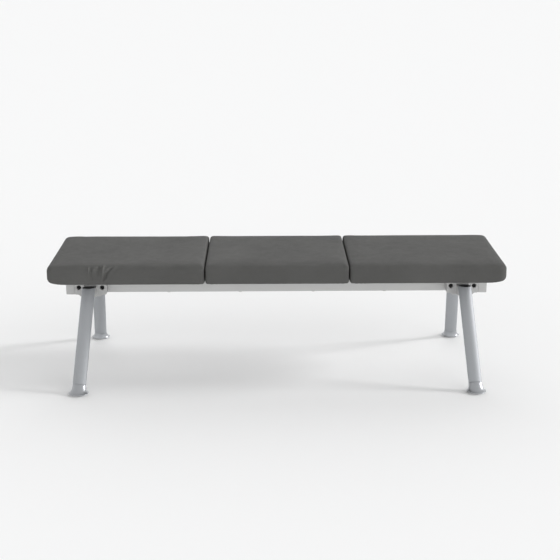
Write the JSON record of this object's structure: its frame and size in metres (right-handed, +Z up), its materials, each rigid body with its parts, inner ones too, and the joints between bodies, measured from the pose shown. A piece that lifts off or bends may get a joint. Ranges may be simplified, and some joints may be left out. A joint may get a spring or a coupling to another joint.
{
  "type": "waiting bench",
  "caption": "Backless waiting bench: upholstered seats side by side on a steel beam, with splayed oval legs, flared feet and levelling glides.",
  "frame": {"origin": "on the floor at the middle of the bench", "axes": "+X along the row of seats, front towards -Y, +Z up"},
  "size_m": [1.68, 0.703, 0.46],
  "materials": {
    "leatherette": "smooth matte upholstery with a soft sheen",
    "beam_silver": "fine silver powder coat",
    "cast_silver": "cast, silver powder coat",
    "leg_silver": "satin silver coat on oval tube",
    "foot_silver": "cast, satin silver coat",
    "black_plastic": "moulded, fine grain",
    "glide_plastic": "moulded nylon",
    "black_screws": "black oxide",
    "zinc_steel": "zinc plated",
    "black_steel": "black powder coat",
    "plywood": "raw plywood",
    "foam": "open-cell foam",
    "dust_cloth": "black non-woven cloth"
  },
  "bodies": {
    "frame": {"beam": "beam_silver", "end_cap_left": "cast_silver", "end_cap_right": "cast_silver", "bracket_front_left": "cast_silver", "bracket_front_right": "cast_silver", "bracket_rear_left": "cast_silver", "bracket_rear_right": "cast_silver", "bracket_screws": "black_screws", "beam_rivet_nuts": "zinc_steel", "leg_front_left": "leg_silver", "leg_front_right": "leg_silver", "leg_rear_left": "leg_silver", "leg_rear_right": "leg_silver", "leg_plug_front_left": "black_plastic", "leg_plug_front_right": "black_plastic", "leg_plug_rear_left": "black_plastic", "leg_plug_rear_right": "black_plastic", "leg_nut_bars": "zinc_steel", "leg_screws": "zinc_steel", "foot_front_left": "foot_silver", "foot_front_right": "foot_silver", "foot_rear_left": "foot_silver", "foot_rear_right": "foot_silver", "leveller_inserts": "zinc_steel", "seat_cover_left": "leatherette", "seat_cover_middle": "leatherette", "seat_cover_right": "leatherette", "seat_foam_left": "foam", "seat_foam_middle": "foam", "seat_foam_right": "foam", "seat_board_left": "plywood", "seat_board_middle": "plywood", "seat_board_right": "plywood", "dust_cover_left": "dust_cloth", "dust_cover_middle": "dust_cloth", "dust_cover_right": "dust_cloth", "seat_rail_1": "black_steel", "seat_rail_2": "black_steel", "seat_rail_3": "black_steel", "seat_rail_4": "black_steel", "seat_rail_5": "black_steel", "seat_rail_6": "black_steel", "rail_nut_bars": "zinc_steel", "rail_bolts": "zinc_steel", "rail_washers": "zinc_steel", "board_screws": "zinc_steel", "board_tee_nuts": "zinc_steel"},
    "glide_front_left": {"glide_pad_front_left": "glide_plastic"},
    "stud_front_left": {"leveller_stud_front_left": "zinc_steel"},
    "glide_front_right": {"glide_pad_front_right": "glide_plastic"},
    "stud_front_right": {"leveller_stud_front_right": "zinc_steel"},
    "glide_rear_left": {"glide_pad_rear_left": "glide_plastic"},
    "stud_rear_left": {"leveller_stud_rear_left": "zinc_steel"},
    "glide_rear_right": {"glide_pad_rear_right": "glide_plastic"},
    "stud_rear_right": {"leveller_stud_rear_right": "zinc_steel"}
  },
  "joints": [
    {"name": "glide_slide_front_left", "type": "slide", "parent": "frame", "child": "glide_front_left", "axis": [0, 0, -1], "range_m": [0, 0.006]},
    {"name": "stud_turn_front_left", "type": "hinge", "parent": "glide_front_left", "child": "stud_front_left", "pos_m": [-0.729, -0.316, 0.01], "axis": [0, 0, -1], "range_deg": [0, 1728]},
    {"name": "glide_slide_front_right", "type": "slide", "parent": "frame", "child": "glide_front_right", "axis": [0, 0, -1], "range_m": [0, 0.006]},
    {"name": "stud_turn_front_right", "type": "hinge", "parent": "glide_front_right", "child": "stud_front_right", "pos_m": [0.729, -0.316, 0.01], "axis": [0, 0, -1], "range_deg": [0, 1728]},
    {"name": "glide_slide_rear_left", "type": "slide", "parent": "frame", "child": "glide_rear_left", "axis": [0, 0, -1], "range_m": [0, 0.006]},
    {"name": "stud_turn_rear_left", "type": "hinge", "parent": "glide_rear_left", "child": "stud_rear_left", "pos_m": [-0.729, 0.316, 0.01], "axis": [0, 0, -1], "range_deg": [0, 1728]},
    {"name": "glide_slide_rear_right", "type": "slide", "parent": "frame", "child": "glide_rear_right", "axis": [0, 0, -1], "range_m": [0, 0.006]},
    {"name": "stud_turn_rear_right", "type": "hinge", "parent": "glide_rear_right", "child": "stud_rear_right", "pos_m": [0.729, 0.316, 0.01], "axis": [0, 0, -1], "range_deg": [0, 1728]}
  ],
  "couplings": [
    {"joint": "stud_turn_front_left", "follows": "glide_slide_front_left", "rad_per_m": 5026.5},
    {"joint": "stud_turn_front_right", "follows": "glide_slide_front_right", "rad_per_m": 5026.5},
    {"joint": "stud_turn_rear_left", "follows": "glide_slide_rear_left", "rad_per_m": 5026.5},
    {"joint": "stud_turn_rear_right", "follows": "glide_slide_rear_right", "rad_per_m": 5026.5}
  ]
}
